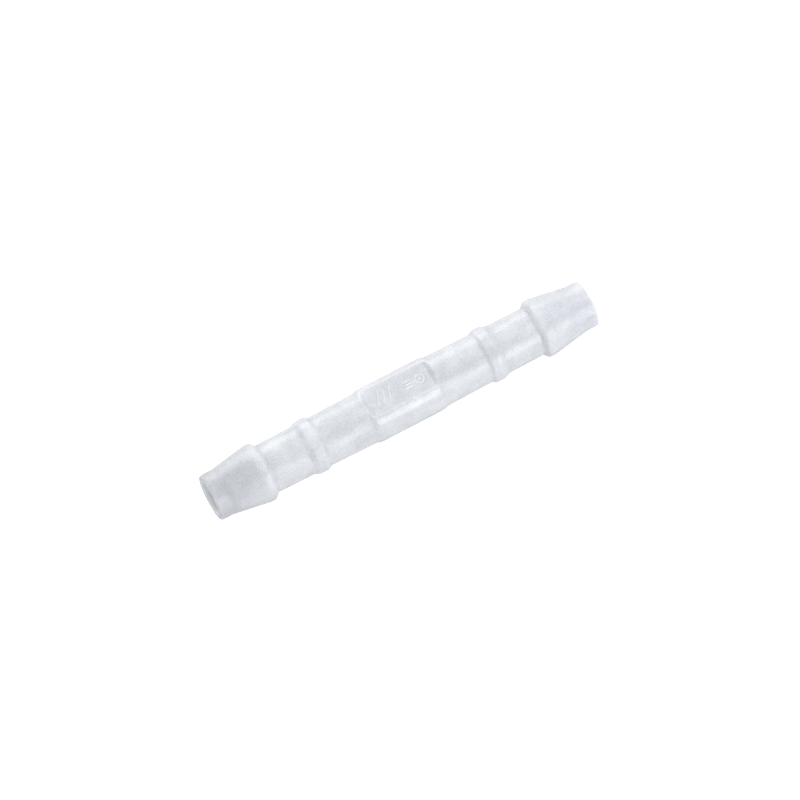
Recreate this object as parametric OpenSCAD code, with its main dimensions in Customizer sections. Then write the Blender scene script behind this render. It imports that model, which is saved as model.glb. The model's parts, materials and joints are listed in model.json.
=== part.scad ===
// Straight barbed hose connector, moulded in one piece.
// It lies along X with its middle at the origin. +Z leaves the marked flat squarely.
// Two hoses push on from the ends, over the barbs, and meet the middle of the part.

/* [Length and bore] */
// Overall length
overall_l = 66.5; // [60:0.5:90]
// Clear bore from end to end
bore_d = 5.6; // [4:0.1:6.2]
// Chamfer at each mouth of the bore
mouth_chamfer = 0.2; // [0.1:0.05:0.4]

/* [Barbs] */
// Diameter of the cylinder that leads the hose on
lead_d = 7.6; // [7.4:0.1:8.2]
// Length of that cylinder
lead_l = 2.1; // [1:0.1:3]
// Radius on the outer rim of each end
rim_r = 0.4; // [0.1:0.05:0.5]
// Diameter of the barb's crest
crest_d = 9.6; // [9:0.1:10.4]
// Length of the cylindrical land on the crest
crest_l = 0.9; // [0.5:0.1:1.5]
// Length of the cone from the lead-in cylinder up to the crest
cone_l = 6.1; // [4:0.1:8]
// Axial length of the shoulder behind the crest
shoulder_l = 0.75; // [0.4:0.05:1]

/* [Necks and sealing rings] */
// Diameter of the neck just behind the barb
neck_d = 8.0; // [7.6:0.1:8.4]
// Diameter of the neck at the foot of the sealing ring
ring_foot_d = 8.16; // [8:0.02:8.5]
// Diameter of the sealing ring
ring_d = 8.96; // [8.8:0.02:9.2]
// Distance of the sealing ring from the middle of the part
ring_x = 15.5; // [13:0.1:18]
// Length of the flat top of the ring
ring_top_l = 1.5; // [1:0.1:2]
// Axial length of the ring's outer slope, which the hose climbs
ring_lead_l = 0.9; // [0.4:0.1:1.2]
// Axial length of the ring's inner slope
ring_back_l = 0.45; // [0.2:0.05:0.8]

/* [Middle] */
// Diameter of the tube next to the collar
tube_d = 8.4; // [8.2:0.1:8.6]
// Diameter of the collar
collar_d = 8.9; // [8.8:0.1:9.4]
// Length of the collar between its sloping ends
collar_l = 10.9; // [9:0.1:14]
// Axial length of the slope at each end of the collar
collar_end_l = 0.9; // [0.2:0.1:1.2]
// Distance across the two flats on the collar
across_flats = 7.2; // [7:0.1:8]
// Length of each flat
flat_l = 11; // [9.2:0.1:12]
// Axial length of the slope at each end of a flat, up to the collar's height
flat_end_l = 0.8; // [0.1:0.05:0.8]

/* [Raised marks] */
// Height of the marks above the flat
mark_h = 0.12; // [0.05:0.01:0.2]
// Width of a stroke
mark_line = 0.24; // [0.15:0.01:0.35]
// Height of the rib along each long edge of the marked flat
edge_rib_h = 0.06; // [0.02:0.01:0.1]

/* [Hidden] */

// every round surface comes out as a true circle
$fn = 96;
// how far one shape runs into the next where they are joined
bite = 0.05;

half_l = overall_l / 2;
lead_r = lead_d / 2;
crest_r = crest_d / 2;
neck_r = neck_d / 2;
ring_r = ring_d / 2;
ring_foot_r = ring_foot_d / 2;
tube_r = tube_d / 2;
collar_r = collar_d / 2;
bore_r = bore_d / 2;
flat_z = across_flats / 2;
// half the width of a flat, where it meets the collar's round side
flat_half_w = sqrt(collar_r * collar_r - flat_z * flat_z);

// stations along the axis, measured from the middle
x_lead = half_l - lead_l;
x_cone = x_lead - cone_l;
x_crest = x_cone - crest_l;
x_neck = x_crest - shoulder_l;
x_ring_out = ring_x + ring_top_l / 2;
x_ring_in = ring_x - ring_top_l / 2;

// marks: slanted strokes to the left of the middle, short bars and a ring to the right;
// the ribs' middle lines lie a little in from the edges of the flat
stroke_n = 3;
stroke_l = 2.7;
stroke_pitch = 0.95;
stroke_slant = 20;
stroke_x = -2.6;
bar_n = 3;
bar_l = 1.4;
bar_pitch = 0.55;
bar_x = 1.5;
ring_mark_d = 1.7;
ring_mark_x = 3.6;
dot_d = 0.45;
edge_rib_in = 0.16;

// one end of the outside, as [radius, distance from the middle]
function outline() = [
    [0, 0],
    [collar_r, 0],
    [collar_r, collar_l / 2],
    [tube_r, collar_l / 2 + collar_end_l],
    [ring_foot_r, x_ring_in - ring_back_l],
    [ring_r, x_ring_in],
    [ring_r, x_ring_out],
    [ring_foot_r, x_ring_out + ring_lead_l],
    [neck_r, x_neck],
    [crest_r, x_crest],
    [crest_r, x_cone],
    [lead_r, x_lead],
    [lead_r, half_l - rim_r],
    for (a = [22.5:22.5:67.5])
        [lead_r - rim_r * (1 - cos(a)), half_l - rim_r * (1 - sin(a))],
    [lead_r - rim_r, half_l],
    [0, half_l]
];

// one end of the part, standing on the middle plane
module solid_end() {
    rotate_extrude() polygon(outline());
}

// the slot cut down to the upper flat of the collar, with sloping ends
module above_flat() {
    lift = collar_r - flat_z;
    rotate([90, 0, 0])
        linear_extrude(height = collar_d, center = true)
            polygon([
                [-flat_l / 2, flat_z],
                [flat_l / 2, flat_z],
                [flat_l / 2 + 2 * flat_end_l, flat_z + 2 * lift],
                [-flat_l / 2 - 2 * flat_end_l, flat_z + 2 * lift]
            ]);
}

// a raised stroke on the upper flat, l long, h high and turned by a
module stroke(x, y, l, a, h = mark_h) {
    translate([x, y, flat_z + (h - bite) / 2])
        rotate([0, 0, a])
            cube([l, mark_line, h + bite], center = true);
}

// a raised disc on the upper flat
module disc(x, d) {
    translate([x, 0, flat_z - bite])
        cylinder(h = mark_h + bite, d = d);
}

module marks() {
    for (i = [0:stroke_n - 1])
        stroke(stroke_x + (i - (stroke_n - 1) / 2) * stroke_pitch, 0, stroke_l, 90 - stroke_slant);
    for (i = [0:bar_n - 1])
        stroke(bar_x, (i - (bar_n - 1) / 2) * bar_pitch, bar_l, 0);
    difference() {
        disc(ring_mark_x, ring_mark_d);
        translate([ring_mark_x, 0, flat_z])
            cylinder(h = 1, d = ring_mark_d - 2 * mark_line);
    }
    disc(ring_mark_x, dot_d);
}

module edge_ribs() {
    for (side = [-1, 1])
        stroke(0, side * (flat_half_w - edge_rib_in), flat_l, 0, edge_rib_h);
}

// the bore, with a chamfered mouth at each end
module bore() {
    cylinder(h = overall_l + 2, r = bore_r, center = true);
    for (m = [0, 1])
        mirror([0, 0, m])
            translate([0, 0, half_l - mouth_chamfer])
                cylinder(h = mouth_chamfer + bite, r1 = bore_r, r2 = bore_r + mouth_chamfer + bite);
}

module hose_connector() {
    color([0.88, 0.90, 0.93])
        difference() {
            union() {
                difference() {
                    for (m = [0, 1])
                        mirror([m, 0, 0]) rotate([0, 90, 0]) solid_end();
                    for (m = [0, 1])
                        mirror([0, 0, m]) above_flat();
                }
                marks();
                edge_ribs();
            }
            rotate([0, 90, 0]) bore();
        }
}

hose_connector();
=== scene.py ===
import json
import math

import bpy
import numpy as np
from mathutils import Matrix, Vector


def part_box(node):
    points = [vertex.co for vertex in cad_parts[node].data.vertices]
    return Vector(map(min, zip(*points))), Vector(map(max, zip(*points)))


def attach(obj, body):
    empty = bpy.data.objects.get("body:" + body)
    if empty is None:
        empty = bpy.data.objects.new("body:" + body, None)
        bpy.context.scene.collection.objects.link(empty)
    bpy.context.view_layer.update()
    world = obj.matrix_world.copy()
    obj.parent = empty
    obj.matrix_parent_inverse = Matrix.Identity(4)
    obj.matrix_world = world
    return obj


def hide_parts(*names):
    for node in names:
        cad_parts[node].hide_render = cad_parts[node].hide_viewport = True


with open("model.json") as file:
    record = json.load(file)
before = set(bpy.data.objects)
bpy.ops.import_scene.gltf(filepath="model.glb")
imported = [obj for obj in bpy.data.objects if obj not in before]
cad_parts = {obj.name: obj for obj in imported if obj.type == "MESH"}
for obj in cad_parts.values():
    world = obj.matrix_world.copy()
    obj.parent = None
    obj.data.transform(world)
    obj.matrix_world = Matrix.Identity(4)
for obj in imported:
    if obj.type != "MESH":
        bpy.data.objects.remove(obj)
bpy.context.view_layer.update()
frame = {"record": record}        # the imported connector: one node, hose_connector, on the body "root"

NODE = "hose_connector"
MM = 0.001

cad_low, cad_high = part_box(NODE)
mounts = {m["name"]: m for m in frame["record"]["mounts"]}

# ---------------------------------------------------------------- sizes, in metres
half_l = cad_high.x
crest_r = cad_high.z
bore_r = mounts["through_bore"]["dims"]["r_mm"] * MM
flat_z = mounts["marked_flat"]["pos_m"][2]
crest_mid = mounts["barb_right"]["pos_m"][0]
crest_half = mounts["barb_right"]["dims"]["length_mm"] * MM / 2

lead_r = 3.8 * MM
lead_l = 2.1 * MM
neck_r = 4.0 * MM
shoulder_l = 0.75 * MM
ring_r = 4.48 * MM
ring_foot_r = 4.08 * MM
ring_x = 15.5 * MM
ring_top_half = 0.75 * MM
ring_lead_l = 0.9 * MM
ring_back_l = 0.45 * MM
tube_r = 4.2 * MM
mouth_r = 0.2 * MM

collar_r = 4.45 * MM
collar_l_half = 5.45 * MM
collar_end_l = 0.9 * MM
flat_half_w = math.sqrt(collar_r ** 2 - flat_z ** 2)
flat_l_half = 5.5 * MM
flat_end_l = 0.8 * MM
flat_edge_soft = 0.16 * MM   # softening along the long edges of the flats
flat_end_soft = 0.45 * MM    # where a flat's sloping end meets the collar
flat_foot_soft = 0.25 * MM   # where a flat meets its sloping end

# generic marks: three slanted strokes, three bars, and a ring with a dot
mark_h = 0.12 * MM
mark_line = 0.24 * MM
mark_soft = 0.16 * MM        # width over which a mark rounds up to its full height
stroke_x = -2.6 * MM
stroke_pitch = 0.95 * MM
stroke_l = 2.7 * MM
stroke_turn = math.radians(70)
bar_x = 1.5 * MM
bar_pitch = 0.55 * MM
bar_l = 1.4 * MM
ring_mark_x = 3.6 * MM
ring_mark_r = 0.85 * MM
dot_r = 0.225 * MM
marks_half_l = 4.7 * MM      # the marks lie within this distance of the middle
edge_rib_h = 0.06 * MM       # rib along each long edge of the marked flat
edge_rib_in = 0.16 * MM

parting_h = 0.02 * MM        # witness of the mould's parting plane, along both sides
parting_w = 0.07 * MM

# the body's mesh: its columns, and the longest stretches between its rings
COLUMNS = 232
marks_gap = 0.085 * MM
flat_end_gap = 0.06 * MM
plain_gap = 0.5 * MM
bore_gap = 2.0 * MM
rounding = 0.0001 * MM       # more than the error in a point's place

# ---------------------------------------------------------------- outline of one end
# (distance from the middle, radius, radius of the fillet at that corner)
OUTLINE = [
    (0.0, collar_r, 0.0),
    (collar_l_half, collar_r, 1.0 * MM),
    (collar_l_half + collar_end_l, tube_r, 1.0 * MM),
    (ring_x - ring_top_half - ring_back_l, ring_foot_r, 0.7 * MM),
    (ring_x - ring_top_half, ring_r, 0.7 * MM),
    (ring_x + ring_top_half, ring_r, 1.2 * MM),
    (ring_x + ring_top_half + ring_lead_l, ring_foot_r, 1.2 * MM),
    (crest_mid - crest_half - shoulder_l, neck_r, 0.4 * MM),
    (crest_mid - crest_half, crest_r, 0.5 * MM),
    (crest_mid + crest_half, crest_r, 2.0 * MM),
    (half_l - lead_l, lead_r, 1.5 * MM),
    (half_l, lead_r, 0.4 * MM),
    (half_l, bore_r, mouth_r),
    (0.0, bore_r, 0.0),
]


def fillet(before, corner, after, radius, step=math.radians(9)):
    """Points of the arc that rounds one corner of an outline. It takes less than half of each side."""
    a, b = (before - corner).normalized(), (after - corner).normalized()
    half_angle = a.angle(b) / 2
    longest = 0.45 * min((before - corner).length, (after - corner).length)
    reach = min(radius / math.tan(half_angle), longest)
    radius = reach * math.tan(half_angle)
    centre = corner + (a + b).normalized() * (radius / math.sin(half_angle))
    start, end = corner + a * reach - centre, corner + b * reach - centre
    turn = start.angle_signed(end)
    count = max(2, math.ceil(abs(turn) / step))
    return [centre + Matrix.Rotation(-turn * i / count, 2) @ start for i in range(count + 1)]


def divided(points, gap):
    """The same path with its long stretches divided, so that no stretch is longer than gap(x)."""
    path = [points[0]]
    for a, b in zip(points, points[1:]):
        count = max(1, math.ceil((b - a).length / gap((a.x + b.x) / 2)))
        path += [a.lerp(b, i / count) for i in range(1, count + 1)]
    return path


def half_outline():
    """The outline from the middle out along the outside, round the rim and back along the bore."""
    corners = [Vector(c[:2]) for c in OUTLINE]
    rounded = [corners[0]]
    for i in range(1, len(corners) - 1):
        rounded += fillet(corners[i - 1], corners[i], corners[i + 1], OUTLINE[i][2])
    return rounded + [corners[-1]]


def spread(low, high, count, density, samples=20000):
    """count + 1 numbers from low to high, closer together where density(t) is high."""
    t = np.linspace(low, high, samples + 1)
    total = np.concatenate([[0], np.cumsum(density((t[1:] + t[:-1]) / 2))])
    return np.interp(np.linspace(0, total[-1], count + 1), total, t)


# ---------------------------------------------------------------- flats and marks
def smooth_min(a, b, k):
    """The smaller of a and b, rounded where they come closer than k to each other."""
    h = np.clip(k - np.abs(a - b), 0, None) / k
    return np.minimum(a, b) - h * h * k / 4


def stroke(x, y, at, length, turn):
    """Signed distance from a flat stroke with round ends."""
    along, across = math.cos(turn), math.sin(turn)
    u = (x - at[0]) * along + (y - at[1]) * across
    v = (y - at[1]) * along - (x - at[0]) * across
    return np.hypot(np.clip(np.abs(u) - (length - mark_line) / 2, 0, None), v) - mark_line / 2


def raised(distance, height):
    """Height of a raised shape with soft flanks, from the signed distance to its edge."""
    rise = np.clip(-distance / mark_soft, 0, 1)
    return height * np.sqrt(rise * (2 - rise))


def mark_height(x, y):
    """Height of the marks and of the edge ribs above the marked flat."""
    shapes = [stroke(x, y, (stroke_x + stroke_pitch * i, 0), stroke_l, stroke_turn) for i in (-1, 0, 1)]
    shapes += [stroke(x, y, (bar_x, bar_pitch * i), bar_l, 0) for i in (-1, 0, 1)]
    from_ring = np.hypot(x - ring_mark_x, y)
    shapes.append(np.abs(from_ring - (ring_mark_r - mark_line / 2)) - mark_line / 2)
    shapes.append(from_ring - dot_r)
    from_rib = np.abs(np.abs(y) - (flat_half_w - edge_rib_in)) - mark_line / 2
    return raised(np.min(shapes, axis=0), mark_h) + raised(from_rib, edge_rib_h)


def outer_radius(x, r, angle):
    """Radius of the outside at x, where a round body would have radius r. angle is from +Z towards +Y."""
    cos, away = np.cos(angle), np.abs(x)
    end_z = flat_z + (collar_r - flat_z) * (away - flat_l_half) / flat_end_l
    cut_z = -smooth_min(-flat_z, -end_z, flat_foot_soft)         # the higher of the flat and its slope
    marked = (cos > 0) & (away < flat_l_half)
    cut_z = cut_z + np.where(marked, mark_height(x, flat_z * np.tan(angle)), 0)
    cut_r = cut_z / np.maximum(np.abs(cos), 0.2)                 # the limit keeps it finite at the sides
    soft = np.interp(away, [flat_l_half, flat_l_half + flat_end_l], [flat_edge_soft, flat_end_soft])
    radius = smooth_min(r, cut_r, soft)
    ridge = parting_h * np.exp(-(cos * radius / parting_w) ** 2)
    return np.minimum(radius + ridge, crest_r)


# ---------------------------------------------------------------- the moulded body
def station_gap(x):
    """Longest stretch between two rings of the mesh at a distance x from the middle."""
    margin = 0.1 * MM
    if x < marks_half_l:
        return marks_gap
    if flat_l_half - margin < x < flat_l_half + flat_end_l + margin:
        return flat_end_gap
    return plain_gap


def column_density(a):
    """How close the mesh's columns lie at angle a.

    They are close on the marked flat, at the edges of both flats and at the parting line.
    """
    corner = math.atan2(flat_half_w, flat_z)
    fold = np.abs(a)
    dense = 1.0 + 2.6 * (fold < corner)
    for place in (corner, math.pi / 2, math.pi - corner):
        dense += 5.0 * np.exp(-((fold - place) / math.radians(1.6)) ** 2)
    return dense


def make_body():
    """The closed skin of the connector: rings along the outside and back along the bore."""
    half = half_outline()
    end_face = next(i for i, p in enumerate(half) if p.x > half_l - rounding)
    outside = divided(half[:end_face + 1], station_gap)
    inside = divided(half[end_face:], lambda x: bore_gap)[1:]
    right = [(p.x, p.y, True) for p in outside] + [(p.x, p.y, False) for p in inside]
    left = [(-x, r, out) for x, r, out in reversed(right[1:-1])]
    x, r, is_out = (np.array(values)[:, None] for values in zip(*(right + left)))

    angles = spread(-math.pi, math.pi, COLUMNS, column_density)[:-1]
    radius = np.where(is_out, outer_radius(x, r, angles), r)
    x = np.broadcast_to(x, radius.shape)
    points = np.stack([x, radius * np.sin(angles), radius * np.cos(angles)], axis=-1)

    index = np.arange(radius.size).reshape(radius.shape)
    down, across = np.roll(index, -1, axis=0), np.roll(index, -1, axis=1)
    down_across = np.roll(down, -1, axis=1)
    faces = np.stack([index, across, down_across, down], axis=-1).reshape(-1, 4)

    mesh = bpy.data.meshes.new("connector_body")
    mesh.from_pydata(points.reshape(-1, 3).tolist(), [], faces.tolist())
    mesh.validate()
    mesh.update()
    mesh.polygons.foreach_set("use_smooth", np.ones(len(mesh.polygons), bool))
    piece = bpy.data.objects.new("connector_body", mesh)
    bpy.context.scene.collection.objects.link(piece)
    return piece


# ---------------------------------------------------------------- materials
def feed(tree, socket, value):
    """Link the socket given as a value, or set the input's own value."""
    if isinstance(value, bpy.types.NodeSocket):
        tree.links.new(value, socket)
    else:
        socket.default_value = value


def add(tree, kind, **settings):
    """A node with its properties and inputs set.

    An input is named with _ for each space, or by its place: in0, in1, in2.
    """
    node = tree.nodes.new(kind)
    for name, value in settings.items():
        if hasattr(node, name):
            setattr(node, name, value)
            continue
        key = int(name[2:]) if name.startswith("in") else name.replace("_", " ")
        feed(tree, node.inputs[key], value)
    return node


def ramp(tree, value, start, end, low=0.0, high=1.0):
    """value mapped so that start gives low and end gives high, and held level beyond them."""
    node = add(
        tree, "ShaderNodeMapRange",
        Value=value, From_Min=start, From_Max=end, To_Min=low, To_Max=high,
    )
    return node.outputs[0]


def noise(tree, where, scale, detail, roughness):
    node = add(
        tree, "ShaderNodeTexNoise",
        Vector=where, Scale=scale, Detail=detail, Roughness=roughness,
    )
    return node.outputs[0]


def calc(tree, operation, *values):
    node = add(tree, "ShaderNodeMath", operation=operation)
    for socket, value in zip(node.inputs, values):
        feed(tree, socket, value)
    return node.outputs[0]


def mix(tree, blend_type, factor, first, second):
    node = add(tree, "ShaderNodeMixRGB", blend_type=blend_type, Fac=factor, Color1=first, Color2=second)
    return node.outputs[0]


def bump(tree, height, strength, distance, **below):
    node = add(tree, "ShaderNodeBump", Height=height, Strength=strength, Distance=distance, **below)
    return node.outputs[0]


def new_material(name):
    material = bpy.data.materials.new(name)
    material.use_nodes = True
    material.node_tree.nodes.clear()
    return material, material.node_tree


# sizes in the plastic's pattern, its painted shade and its painted light, in millimetres
END_X = 33.0                 # the ends' painted shade is full here, and starts at two thirds of this
MARKED_AREA = {"X": 5.2, "Y": 2.2}      # how far from the middle a mark gets its painted highlight, a paler colour
COLLAR_END_X = (5.6, 6.2)    # the collar's smooth skin gives way to the satin one


def natural_plastic():
    """Milky natural polypropylene: light scatters inside it, and the skin is satin with a fine mottle.
    Its colour holds painted shade at the ends and painted light on the marks and in the bore.
    """
    material, tree = new_material("natural_pp")
    place = add(tree, "ShaderNodeTexCoord").outputs["Object"]
    in_mm = add(tree, "ShaderNodeMapping", Vector=place, Scale=(1 / MM,) * 3).outputs[0]
    drawn_out = add(tree, "ShaderNodeMapping", Vector=place, Scale=(120, 900, 900)).outputs[0]
    folded = add(tree, "ShaderNodeVectorMath", operation="ABSOLUTE", in0=in_mm).outputs[0]
    at = add(tree, "ShaderNodeSeparateXYZ", Vector=in_mm)
    away = add(tree, "ShaderNodeSeparateXYZ", Vector=folded)

    cloud = noise(tree, in_mm, scale=0.35, detail=4.0, roughness=0.55)
    flow = noise(tree, drawn_out, scale=1.0, detail=3.0, roughness=0.6)
    speckle = noise(tree, in_mm, scale=3.4, detail=2.0, roughness=0.7)
    grain = noise(tree, in_mm, scale=7.0, detail=3.0, roughness=0.6)

    # colour: mottled, with painted shade greying the ends and painted light making the marks and the bore
    # paler
    mottle = calc(tree, "MULTIPLY_ADD", flow, 0.45, cloud)
    mottle = calc(tree, "MULTIPLY_ADD", speckle, 1.2, mottle)
    tint = add(tree, "ShaderNodeValToRGB", in0=ramp(tree, mottle, 1.05, 1.60))
    tint.color_ramp.elements[0].color = (0.606, 0.626, 0.664, 1)
    tint.color_ramp.elements[1].color = (0.742, 0.760, 0.795, 1)
    tone = tint.outputs[0]
    # painted shade: the colour darkens towards each end, by a fifth at the left and a little at the right
    for end, shade in ((-END_X, (0.80, 0.80, 0.81, 1)), (END_X, (0.94, 0.94, 0.95, 1))):
        painted_end_shade = ramp(tree, at.outputs["X"], end * 2 / 3, end)
        tone = mix(tree, "MULTIPLY", painted_end_shade, tone, shade)

    flat = flat_z / MM
    # painted highlight: the raised marks are made paler than the plastic around them
    mark = ramp(tree, at.outputs["Z"], flat + 0.02, flat + 0.10, high=0.7)
    for axis, edge in MARKED_AREA.items():
        within = ramp(tree, away.outputs[axis], edge + 0.1, edge)
        mark = calc(tree, "MULTIPLY", mark, within)
    # painted light: the inside of the bore is made paler, lifting the shade there
    section = add(tree, "ShaderNodeVectorMath", operation="MULTIPLY", in0=in_mm, in1=(0, 1, 1)).outputs[0]
    radius = add(tree, "ShaderNodeVectorMath", operation="LENGTH", in0=section).outputs["Value"]
    in_bore = ramp(tree, radius, bore_r / MM + 0.15, bore_r / MM + 0.05)
    painted_light = calc(tree, "MAXIMUM", mark, in_bore)
    # painted highlight and painted light: the marks and the bore take this paler colour
    tone = mix(tree, "MIX", painted_light, tone, (0.85, 0.87, 0.91, 1))

    # skin: smoother on the round part of the collar than anywhere else
    off_collar = ramp(tree, away.outputs["X"], *COLLAR_END_X)
    on_flat = ramp(tree, away.outputs["Z"], flat - 0.10, flat - 0.02)
    satin = calc(tree, "MAXIMUM", off_collar, on_flat)
    rough = calc(tree, "MULTIPLY_ADD", grain, 0.10, ramp(tree, satin, 0, 1, low=0.12, high=0.21))
    pitting = ramp(tree, satin, 0, 1, low=0.3, high=1.0)
    skin = bump(tree, grain, strength=0.35, distance=0.02 * MM)
    skin = bump(tree, speckle, strength=pitting, distance=0.06 * MM, Normal=skin)
    skin = bump(tree, cloud, strength=0.5, distance=0.05 * MM, Normal=skin)

    plastic = add(
        tree, "ShaderNodeBsdfPrincipled",
        Base_Color=tone, Roughness=rough, Normal=skin, IOR=1.49,
        Subsurface_Weight=1.0, Subsurface_Radius=(1.0, 1.0, 1.0), Subsurface_Scale=1.5 * MM,
    )
    add(tree, "ShaderNodeOutputMaterial", Surface=plastic.outputs[0])
    return material


def pale_floor():
    """White paper that glows for the camera, and lights the part from below only as pale paper would."""
    material, tree = new_material("studio_floor")
    place = add(tree, "ShaderNodeTexCoord").outputs["Object"]
    tooth = noise(tree, place, scale=180.0, detail=2.0, roughness=0.5)
    rough = ramp(tree, tooth, 0, 1, low=0.85, high=0.95)
    seen = add(tree, "ShaderNodeLightPath").outputs["Is Camera Ray"]
    glow = ramp(tree, seen, 0, 1, low=0.31, high=0.76)
    paper = add(
        tree, "ShaderNodeBsdfPrincipled",
        Base_Color=(0.45, 0.45, 0.45, 1), Roughness=rough, Specular_IOR_Level=0.1,
        Emission_Color=(1, 1, 1, 1), Emission_Strength=glow,
    )
    add(tree, "ShaderNodeOutputMaterial", Surface=paper.outputs[0])
    return material


# ---------------------------------------------------------------- camera, lights and floor
FRAME_WIDTH = 123.1 * MM            # width of the view at the object
CAMERA_DISTANCE = 0.9
SENSOR = 36.0                       # the camera's own unit for this is the millimetre
AXIS_TILT = math.radians(10.5)      # how far the left end leans towards the camera
FLAT_TURN = math.radians(25.3)      # angle between the marked flat's normal and the view, about the axis
AXIS_RISE = math.radians(27.38)     # slope of the axis in the picture

to_camera = Vector((
    -math.sin(AXIS_TILT),
    -math.cos(AXIS_TILT) * math.sin(FLAT_TURN),
    math.cos(AXIS_TILT) * math.cos(FLAT_TURN),
))
axis_in_view = (Vector((1, 0, 0)) - to_camera * to_camera.x).normalized()
across_in_view = to_camera.cross(axis_in_view)


def make_camera():
    right = axis_in_view * math.cos(AXIS_RISE) - across_in_view * math.sin(AXIS_RISE)
    up = axis_in_view * math.sin(AXIS_RISE) + across_in_view * math.cos(AXIS_RISE)
    data = bpy.data.cameras.new("camera")
    data.sensor_width = SENSOR
    data.lens = data.sensor_width * CAMERA_DISTANCE / FRAME_WIDTH
    data.clip_start, data.clip_end = 0.01, 20.0
    camera = bpy.data.objects.new("camera", data)
    camera.matrix_world = Matrix.Translation(to_camera * CAMERA_DISTANCE) @ Matrix(
        [(right[i], up[i], to_camera[i]) for i in range(3)]
    ).to_4x4()
    bpy.context.scene.collection.objects.link(camera)
    bpy.context.scene.camera = camera


def section_direction(turn, lean):
    """The way to the camera, turned about the part's axis (upwards in the picture) and leaning to +X."""
    flat = (to_camera - Vector((to_camera.x, 0, 0))).normalized()
    up = Vector((1, 0, 0)).cross(-flat)
    way = flat * math.cos(turn) + up * math.sin(turn)
    return (way * math.cos(lean) + Vector((math.sin(lean), 0, 0))).normalized()


def soft_light(name, back, distance, length, height, power):
    """A rectangular light that looks at the part from the direction back, its length along X."""
    data = bpy.data.lights.new(name, "AREA")
    data.shape = "RECTANGLE"
    data.size, data.size_y, data.energy = length, height, power
    light = bpy.data.objects.new(name, data)
    side = (Vector((1, 0, 0)) - back * back.x).normalized()
    up = back.cross(side)
    light.matrix_world = Matrix.Translation(back * distance) @ Matrix(
        [(side[i], up[i], back[i]) for i in range(3)]
    ).to_4x4()
    bpy.context.scene.collection.objects.link(light)


def make_world(strength):
    world = bpy.data.worlds.new("studio")
    world.use_nodes = True
    shade = world.node_tree.nodes["Background"]
    shade.inputs["Color"].default_value = (1.0, 1.0, 1.0, 1)
    shade.inputs["Strength"].default_value = strength
    bpy.context.scene.world = world


def make_floor():
    half = 3.0
    z = cad_low.z
    corners = [(-half, -half, z), (half, -half, z), (half, half, z), (-half, half, z)]
    mesh = bpy.data.meshes.new("floor")
    mesh.from_pydata(corners, [], [(0, 1, 2, 3)])
    floor = bpy.data.objects.new("floor", mesh)
    bpy.context.scene.collection.objects.link(floor)
    floor.data.materials.append(pale_floor())


# name, turn in degrees, lean in radians, then distance, length and height in metres, and power in watts
SOFT_LIGHTS = [
    ("rear_softbox", 88, 0.15, 0.5, 0.46, 0.26, 1.6),
    ("front_softbox", -42, 0.3, 0.5, 0.34, 0.26, 1.4),
    ("fill_panel", 27, 0.3, 0.7, 0.35, 0.90, 1.7),
    ("left_panel", 45, -1.2, 0.5, 0.30, 0.60, 0.70),
]

make_camera()
make_world(strength=0.36)
for name, turn, lean, distance, length, height, power in SOFT_LIGHTS:
    back = section_direction(math.radians(turn), lean)
    soft_light(name, back, distance, length, height, power)
make_floor()
bpy.context.scene.view_settings.view_transform = "Standard"

body = make_body()
body.data.materials.append(natural_plastic())
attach(body, "root")
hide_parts(NODE)
